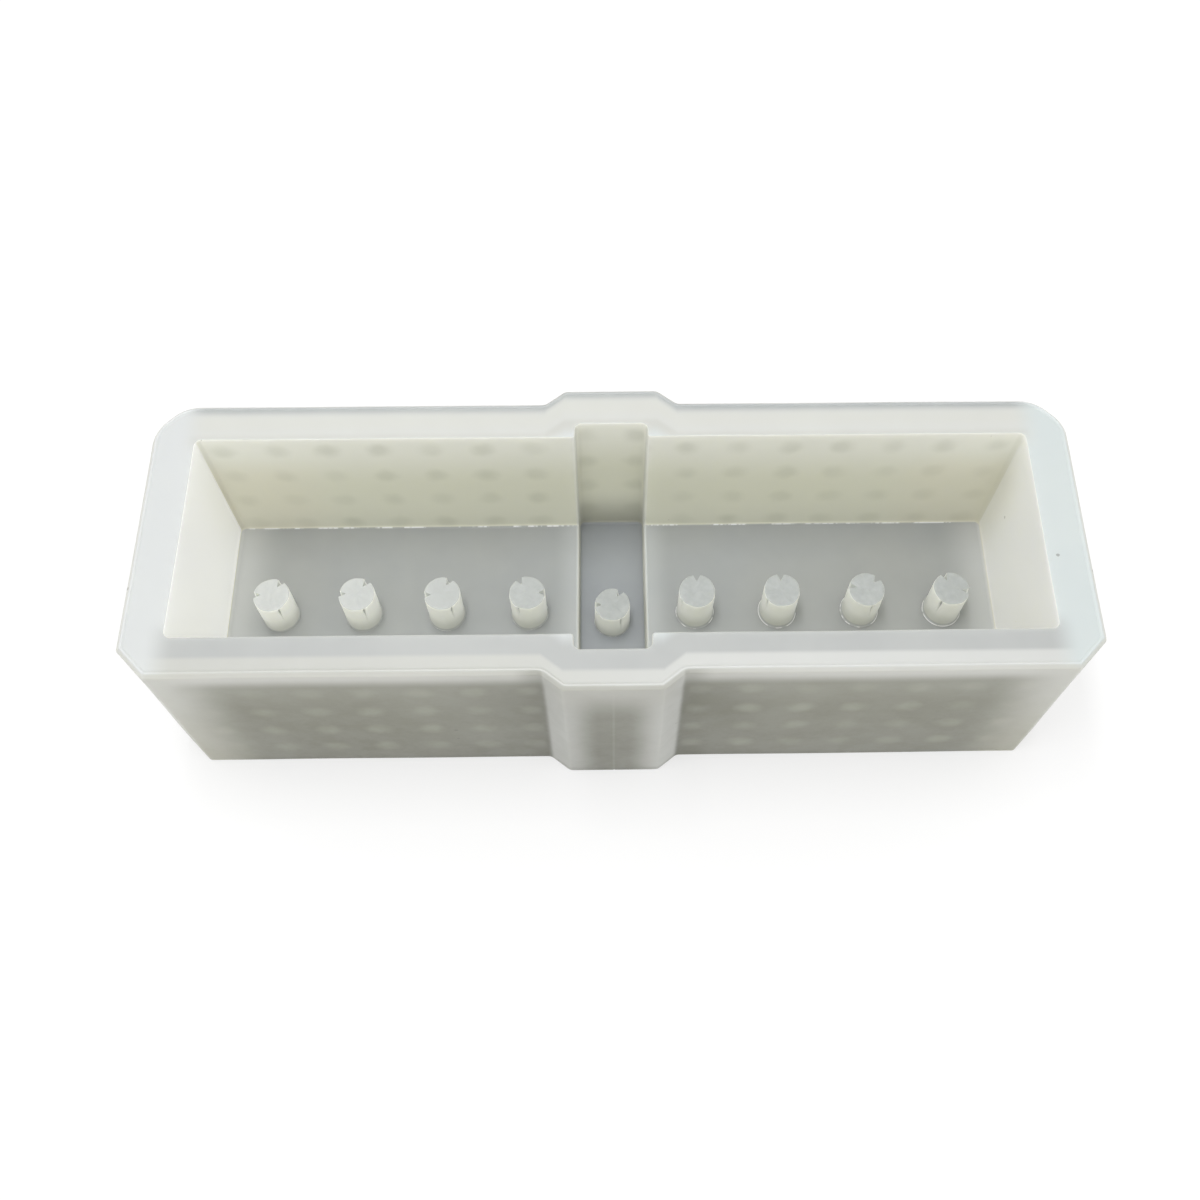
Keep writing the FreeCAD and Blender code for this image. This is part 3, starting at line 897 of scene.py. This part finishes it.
def outer_tone(finish, places, block, dots):
    """The outer walls: a painted lit band under the rim, then olive silicone with painted shade that
    darkens to the base, beside the collars and at the foot.
    """
    rim_height = BLOCK_HIGH.z - block.crest_height
    # painted light and shade: lit just under the rim, then darker down the wall
    wall = finish.mix(finish.ramp(places.below, 2 * MM, 10 * MM), WALL_LIT_BAND, WALL_SHADE_UPPER)
    wall = finish.mix(finish.ramp(places.below, 9 * MM, 32 * MM), wall, WALL_SHADE_MIDDLE)
    wall = finish.mix(finish.ramp(places.below, 20 * MM, rim_height), wall, block.wall_shade_deep)
    # painted shade: darker on the wall towards each collar and lower down
    nook_shade = finish.ramp(places.along, 62 * MM, places.collar_base, 0.0, 0.5)
    nook_shade = finish.times(nook_shade, finish.ramp(places.below, 3 * MM, 14 * MM, 0.25, 1.0))
    wall = finish.mix(nook_shade, wall, WALL_NOOK_SHADE)
    wall = finish.mix(finish.times(dots, 0.5), wall, WALL_HOLE)
    # painted shade: the clear silicone past the boards darkens from the rim to the base
    clear = finish.mix(finish.ramp(places.below, 0.0, rim_height), CLEAR_HIGH, CLEAR_SHADED_LOW)
    end = finish.ramp(places.along, BOARD_HIGH.x - 18 * MM, BOARD_HIGH.x + 6 * MM)
    base = places.collar_base
    collar = finish.times(finish.ramp(places.along, 4 * MM, block.collar_face / 2, 0.08, 1.0),
                          finish.ramp(places.along, base + 0.4 * MM, base - 1.6 * MM))
    wall = finish.mix(collar, wall, finish.mix(places.at_left, COLLAR_RIGHT, COLLAR_LEFT))
    crown = finish.times(finish.ramp(places.below, 26 * MM, 3 * MM, 0.0, 0.85),
                         finish.ramp(places.along, base, block.collar_face / 2))
    wall = finish.mix(crown, wall, COLLAR_CROWN)
    # painted shade: darker in the last few millimetres above the base
    wall = finish.mix(finish.ramp(places.z, 5 * MM, 0.0, 0.0, 0.45), wall, WALL_FOOT_SHADE)
    # painted shade in the crease where the collar meets the wall
    crease_shade = finish.times(finish.ramp(places.along, base - 1 * MM, base),
                          finish.ramp(places.along, base + 9 * MM, base + 1 * MM))
    wall = finish.mix(finish.times(crease_shade, 0.35), wall, WALL_NOOK_SHADE)
    seam = finish.times(finish.ramp(places.along, 0.6 * MM, 0.1 * MM, 0.0, 0.12),
                        finish.ramp(places.y, 0.0, -1 * MM))
    wall = finish.mix(seam, wall, PART_LINE)
    return finish.mix(end, wall, clear)


def inner_tone(finish, places, block, dots):
    """The cavity's walls, with painted light that makes them lightest near the rim, and the boards' holes
    as darker spots.
    """
    drop = finish.math("DIVIDE", places.below, BLOCK_HIGH.z - block.floor_level)
    # painted light: the cavity's walls lightest near the rim
    wall = finish.mix(finish.ramp(drop, 0.0, 0.5), INNER_LIT_HIGH, INNER_LIT_MIDDLE)
    wall = finish.mix(finish.ramp(drop, 0.5, 1.0), wall, INNER_LIT_LOW)
    wall = finish.mix(finish.times(dots, 0.30), wall, INNER_HOLE)
    warm = finish.times(finish.ramp(places.along, 85 * MM, 108 * MM),
                        finish.ramp(drop, 0.15, 0.4, 0.0, 0.35))
    wall = finish.mix(warm, wall, INNER_WARM)
    in_channel = finish.ramp(places.along, block.channel_width / 2 + 1 * MM, block.channel_width / 2)
    # painted shade: the channel's walls darker towards its floor
    sunk_shade = finish.ramp(places.z, block.floor_level + 16 * MM, block.channel_level, 0.0, 0.85)
    wall = finish.mix(finish.times(sunk_shade, in_channel), wall, CHANNEL_LOW_SHADE)
    side = finish.times(places.faces_end, in_channel)
    wall = finish.mix(side, wall, CHANNEL_SIDE)
    # painted light: the end walls' inner faces lit through the silicone
    return finish.mix(places.end_wall, wall, INNER_END_LIT)


def floor_tone(finish, places, block):
    """The grey floor, with painted shade that makes it darker in the channel and painted light next to the
    end walls.
    """
    floor = finish.mix(finish.ramp(finish.cloud(18.0, 2.0), 0.3, 0.7), block.floor_grey, FLOOR_PATCH)
    # painted light: the floor lighter next to the end walls and along their foot
    near_end = finish.ramp(places.end_depth, block.end_wall + 16 * MM, block.end_wall, 0.0, 0.38)
    half = block.channel_width / 2
    near_channel = finish.ramp(places.along, half + 9 * MM, half + 1 * MM, 0.0, 0.3)
    floor = finish.mix(near_channel, floor, FLOOR_BY_CHANNEL)
    at_foot = finish.ramp(places.end_depth, block.end_wall + 2.6 * MM, block.end_wall, 0.0, 0.8)
    floor = finish.mix(finish.math("MAXIMUM", near_end, at_foot), floor, FLOOR_LIT_BY_END)
    # painted shade: the sunk channel's floor darker, most towards its ends
    sunk_shade = finish.ramp(places.z, block.floor_level - 2 * MM, block.channel_level + 2 * MM)
    low = finish.mix(finish.ramp(places.across, 15 * MM, 34 * MM), CHANNEL_FLOOR_SHADE_MIDDLE, CHANNEL_FLOOR_SHADE_END)
    return finish.mix(sunk_shade, floor, low)


def lit_edges(finish, places, block):
    """Painted highlights on thin silicone: the channel's mouth and step, and a broken line round the
    floor.
    """
    half = block.channel_width / 2
    mouth = finish.times(finish.ramp(places.along, half - 0.3 * MM, half),
                         finish.ramp(places.along, half + block.mouth_round, half + block.mouth_round / 2))
    above = finish.ramp(places.z, block.floor_level - 1.2 * MM, block.floor_level - 0.6 * MM)
    mouth = finish.times(mouth, above)
    half_width = BLOCK_HIGH.y - block.collar_reach - block.side_wall
    floor = block.floor_level
    corner = finish.times(finish.ramp(places.across, half_width - 0.75 * MM, half_width - 0.5 * MM),
                          finish.ramp(places.z, floor + 0.55 * MM, floor + 0.3 * MM))
    corner = finish.times(corner, finish.ramp(places.along, half + 0.5 * MM, half + 1.5 * MM))
    broken = finish.ramp(finish.cloud(160.0, 3.0, 0.7, (1.0, 0.2, 0.2)), 0.46, 0.56)
    corner = finish.times(corner, finish.times(broken, above))
    edges = finish.math("MAXIMUM", finish.times(mouth, 0.3), corner)
    return finish.times(edges, places.inside)


def silicone_block_material(scene):
    """Milky silicone with the buried boards showing through it, and painted light and shade."""
    block = scene.mould_block
    finish = Finish("milky_silicone")
    places = BlockPlaces(finish, block)
    dots = board_holes(finish, places, scene.mould_boards)
    walls = finish.mix(
        places.deep, outer_tone(finish, places, block, dots), inner_tone(finish, places, block, dots))
    tone = finish.mix(places.on_floor, walls, floor_tone(finish, places, block))
    tone = finish.mix(places.on_rim, tone, rim_tone(finish, places, block))
    # painted highlights along the channel's mouth and round the floor
    tone = finish.mix(lit_edges(finish, places, block), tone, LIT_EDGE)
    haze = finish.ramp(finish.cloud(35.0, 3.0, 0.6), 0.25, 0.75, 0.0, 0.10)
    tone = finish.mix(haze, tone, block.silicone)
    speck = finish.ramp(finish.cloud(380.0, 0.0), 0.88, 0.895, 0.0, 0.45)
    tone = finish.mix(speck, tone, SPECK)
    finish.shade("Base Color", tone)

    upper = finish.ramp(places.below, 34 * MM, 2 * MM)
    wall_glow = finish.mix(upper, GLOW_LOW, GLOW_HIGH)
    end_glow = finish.mix(places.at_left, GLOW_END_RIGHT, GLOW_END_LEFT)
    glow = finish.mix(places.end_wall, wall_glow, end_glow)
    finish.shade("Emission Color", glow)
    shining = finish.times(places.inside, finish.math("SUBTRACT", 1.0, places.on_floor))
    finish.shade("Emission Strength", shining)

    gloss = finish.ramp(finish.cloud(140.0, 3.0, 0.6), 0.3, 0.7, 0.28, 0.42)
    floor_gloss = finish.ramp(finish.cloud(90.0, 2.0), 0.3, 0.7, 0.10, 0.20)
    rough = finish.tree.nodes.new("ShaderNodeMix")
    finish.put(rough.inputs[0], places.on_floor)
    finish.put(rough.inputs[2], gloss)
    finish.put(rough.inputs[3], floor_gloss)
    finish.shade("Roughness", rough.outputs[0])
    finish.shade("IOR", SILICONE_IOR)
    finish.soften(0.6, (1.0, 1.0, 0.92), 5.0 * MM)
    broad = finish.bump(finish.cloud(70.0, 2.0), 0.10 * MM, 0.5)
    fine = finish.bump(finish.cloud(900.0, 2.0, 0.6), 0.02 * MM, 0.35, broad)
    finish.shade("Normal", fine)
    return finish.material


def post_material(scene, node, floor, middle, high):
    """Whiter torn silicone, with painted shade that darkens its side towards the post's foot and a painted
    highlight ring at the foot.
    """
    posts = scene.mould_posts
    finish = Finish("torn_silicone_%s" % node[-1])
    x, y, z = finish.split(finish.place)
    up = finish.split(finish.facing)[2]
    rise = finish.math("DIVIDE", finish.math("SUBTRACT", z, floor), high.z - floor)
    off_x = finish.math("POWER", finish.math("SUBTRACT", x, middle.x), 2.0)
    off_y = finish.math("POWER", finish.math("SUBTRACT", y, middle.y), 2.0)
    out = finish.math("SQRT", finish.math("ADD", off_x, off_y))
    radius = high.x - middle.x
    in_slit = finish.ramp(out, radius - 0.35 * MM, radius - 0.9 * MM)
    # painted shade: the side darkens from the white upper part towards the foot
    side = finish.mix(finish.ramp(rise, 0.0, 0.6), posts.foot_shade, posts.top_white)
    patch = finish.ramp(finish.cloud(260.0, 3.0, 0.6), 0.3, 0.7, 0.0, 0.25)
    side = finish.mix(patch, side, POST_PATCH)
    cap = finish.times(finish.ramp(up, 0.4, 0.8), finish.ramp(rise, 0.85, 0.95))
    # painted light: torn tops lighter towards the left, where the glow is also stronger
    at_left = finish.ramp(x, 0.0, -115 * MM)
    grey = finish.mix(at_left, posts.torn_grey, TORN_LIT_LEFT)
    fleck = finish.ramp(finish.cloud(420.0, 3.0, 0.6), 0.3, 0.7, 0.0, 0.4)
    torn = finish.mix(fleck, grey, TORN_FLECK)
    side = finish.mix(in_slit, side, POST_SLIT)
    tone = finish.mix(cap, side, torn)
    skirt = finish.ramp(rise, 0.09, 0.02)
    tone = finish.mix(skirt, tone, POST_SKIRT)
    # painted highlight: a broken bright ring round the foot
    ring = finish.ramp(rise, 0.010, 0.004)
    broken = finish.ramp(finish.cloud(330.0, 2.0), 0.42, 0.55)
    tone = finish.mix(finish.times(ring, broken), tone, POST_RING_HIGHLIGHT)
    finish.shade("Emission Color", GLOW_POST)
    dim = finish.times(in_slit, 0.6)
    solid = finish.math("SUBTRACT", 1.0, finish.math("MAXIMUM", cap, dim))
    lit = finish.times(finish.ramp(rise, 0.1, 0.8, 0.05, 0.12), solid)
    lit = finish.times(lit, finish.math("ADD", at_left, 1.0))
    finish.shade("Emission Strength", lit)
    finish.shade("Base Color", tone)
    finish.shade("Roughness", finish.ramp(finish.cloud(300.0, 3.0), 0.3, 0.7, 0.35, 0.6))
    finish.shade("IOR", SILICONE_IOR)
    finish.soften(0.6, (1.0, 1.0, 0.9), 2.5 * MM)
    grain = finish.bump(finish.cloud(1300.0, 4.0, 0.65), 0.06 * MM, 0.6)
    finish.shade("Normal", grain)
    return finish.material


def board_material(scene):
    """Matte cream board with fine flecks."""
    boards = scene.mould_boards
    finish = Finish("cream_board")
    fleck = finish.ramp(finish.cloud(700.0, 3.0, 0.6), 0.35, 0.65)
    worn = finish.ramp(finish.cloud(50.0, 2.0), 0.3, 0.7, 0.0, 0.4)
    tone = finish.mix(fleck, boards.board, BOARD_FLECK)
    finish.shade("Base Color", finish.mix(worn, tone, BOARD_WORN))
    finish.shade("Roughness", finish.ramp(finish.cloud(400.0), 0.3, 0.7, 0.55, 0.75))
    finish.shade("Normal", finish.bump(finish.cloud(1200.0, 3.0), 0.03 * MM, 0.4))
    return finish.material


class MOULD_OT_boards(bpy.types.Operator):
    """Finish the boards buried in the long walls"""

    bl_idname = "mould.boards"
    bl_label = "Buried boards"

    def execute(self, context):
        material = board_material(context.scene)
        for name in STIFFENER_NODES:
            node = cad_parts[name]
            node.data.materials.clear()
            node.data.materials.append(material)
        return {"FINISHED"}


# ---------------------------------------------------------------- studio

FLOOR_REACH = 3.0
FLOOR_GAP = 0.1 * MM
LAMP_SIZE = (0.45, 0.10)
LAMP_PLACE = (-0.12, 0.0, 0.95)
SENSOR_WIDTH = 36.0
LENS_SHIFT = (-0.0186, -0.0884)
NEAREST = 0.01


def floor_material(scene):
    """Plain pale floor."""
    finish = Finish("pale_floor")
    pale = scene.mould_studio.floor
    shade = finish.ramp(finish.cloud(3.0, 1.0), 0.3, 0.7)
    tone = finish.mix(shade, pale, tuple(channel * 0.99 for channel in pale))
    finish.shade("Base Color", tone)
    finish.shade("Emission Color", tone)
    finish.shade("Emission Strength", scene.mould_studio.floor_glow / pale[0])
    finish.shade("Roughness", 0.9)
    finish.shade("Specular IOR Level", 0.0)
    return finish.material


def light_tent(studio):
    """A world that is bright overhead and softer at the sides."""
    world = bpy.data.worlds.new("light_tent")
    world.use_nodes = True
    tree = world.node_tree
    join = tree.links.new
    place = tree.nodes.new("ShaderNodeTexCoord")
    split = tree.nodes.new("ShaderNodeSeparateXYZ")
    join(place.outputs["Generated"], split.inputs[0])
    rise = tree.nodes.new("ShaderNodeMapRange")
    rise.interpolation_type = "SMOOTHSTEP"
    join(split.outputs[2], rise.inputs["Value"])
    parts = {"From Min": 0.15, "From Max": 0.9, "To Min": studio.low_light, "To Max": studio.high_light}
    for socket, part in parts.items():
        rise.inputs[socket].default_value = part
    light = tree.nodes["Background"]
    light.inputs["Color"].default_value = (1, 1, 1, 1)
    join(rise.outputs["Result"], light.inputs["Strength"])
    backdrop = tree.nodes.new("ShaderNodeBackground")
    backdrop.inputs["Color"].default_value = (1, 1, 1, 1)
    backdrop.inputs["Strength"].default_value = studio.backdrop
    ray = tree.nodes.new("ShaderNodeLightPath")
    choose = tree.nodes.new("ShaderNodeMixShader")
    join(ray.outputs["Is Camera Ray"], choose.inputs[0])
    join(light.outputs[0], choose.inputs[1])
    join(backdrop.outputs[0], choose.inputs[2])
    join(choose.outputs[0], tree.nodes["World Output"].inputs["Surface"])
    return world


def camera_rotation(studio):
    """The camera's axes as a rotation, from its pitch, yaw and roll."""
    pitch = studio.camera_pitch
    right = Vector((1, 0, 0))
    down = Vector((0, -math.sin(pitch), -math.cos(pitch)))
    ahead = Vector((0, math.cos(pitch), -math.sin(pitch)))
    rows = Matrix((right, down, ahead))
    yaw = Matrix.Rotation(studio.camera_yaw, 3, "Z").transposed()
    roll = Matrix.Rotation(studio.camera_roll, 3, "Z")
    rows = roll @ rows @ yaw
    return Matrix((rows[0], -rows[1], -rows[2])).transposed()


class MOULD_OT_studio(bpy.types.Operator):
    """Set up the floor, the lights and the camera"""

    bl_idname = "mould.studio"
    bl_label = "Studio"

    def execute(self, context):
        scene = context.scene
        studio = scene.mould_studio
        scene.view_settings.view_transform = "Standard"

        bm = bmesh.new()
        bmesh.ops.create_grid(bm, x_segments=4, y_segments=4, size=FLOOR_REACH)
        mesh = bpy.data.meshes.new("studio_floor")
        bm.to_mesh(mesh)
        bm.free()
        mesh.materials.append(floor_material(scene))
        floor = bpy.data.objects.new("studio_floor", mesh)
        floor.location.z = BLOCK_LOW.z - FLOOR_GAP
        scene.collection.objects.link(floor)

        scene.world = light_tent(studio)

        lamp = bpy.data.lights.new("top_light", "AREA")
        lamp.shape = "RECTANGLE"
        lamp.size, lamp.size_y = LAMP_SIZE
        lamp.energy = studio.top_light
        top = bpy.data.objects.new("top_light", lamp)
        top.location = LAMP_PLACE
        top.rotation_euler = (Vector((0, 0, 0)) - top.location).to_track_quat("-Z", "Y").to_euler()
        scene.collection.objects.link(top)

        lens = bpy.data.cameras.new("camera")
        lens.lens = studio.camera_lens
        lens.sensor_width = SENSOR_WIDTH
        lens.shift_x, lens.shift_y = LENS_SHIFT
        lens.clip_start = NEAREST
        camera = bpy.data.objects.new("camera", lens)
        camera.matrix_world = Matrix.Translation(studio.camera_place) @ camera_rotation(studio).to_4x4()
        scene.collection.objects.link(camera)
        scene.camera = camera
        return {"FINISHED"}


# ---------------------------------------------------------------- add-on


class MOULD_PT_panel(bpy.types.Panel):
    """Builds the mould piece by piece"""

    bl_idname = "MOULD_PT_panel"
    bl_label = "Block Mould"
    bl_space_type = "VIEW_3D"
    bl_region_type = "UI"
    bl_category = "Mould"

    def draw(self, context):
        for operator in OPERATORS:
            self.layout.operator(operator.bl_idname)
        for group in SETTINGS:
            settings = getattr(context.scene, group)
            box = self.layout.box()
            for name in settings.__annotations__:
                box.prop(settings, name)


GROUPS = (MouldBlockSettings, MouldPostSettings, MouldBoardSettings, MouldStudioSettings)
OPERATORS = (MOULD_OT_block, MOULD_OT_posts, MOULD_OT_boards, MOULD_OT_studio)
CLASSES = GROUPS + OPERATORS + (MOULD_PT_panel,)


def register():
    for cls in CLASSES:
        bpy.utils.register_class(cls)
    for name, group in zip(SETTINGS, GROUPS):
        setattr(bpy.types.Scene, name, bpy.props.PointerProperty(type=group))


def unregister():
    for name in SETTINGS:
        delattr(bpy.types.Scene, name)
    for cls in reversed(CLASSES):
        bpy.utils.unregister_class(cls)


def main():
    register()
    bpy.ops.mould.block()
    bpy.ops.mould.posts()
    bpy.ops.mould.boards()
    bpy.ops.mould.studio()


if __name__ == "__main__":
    main()
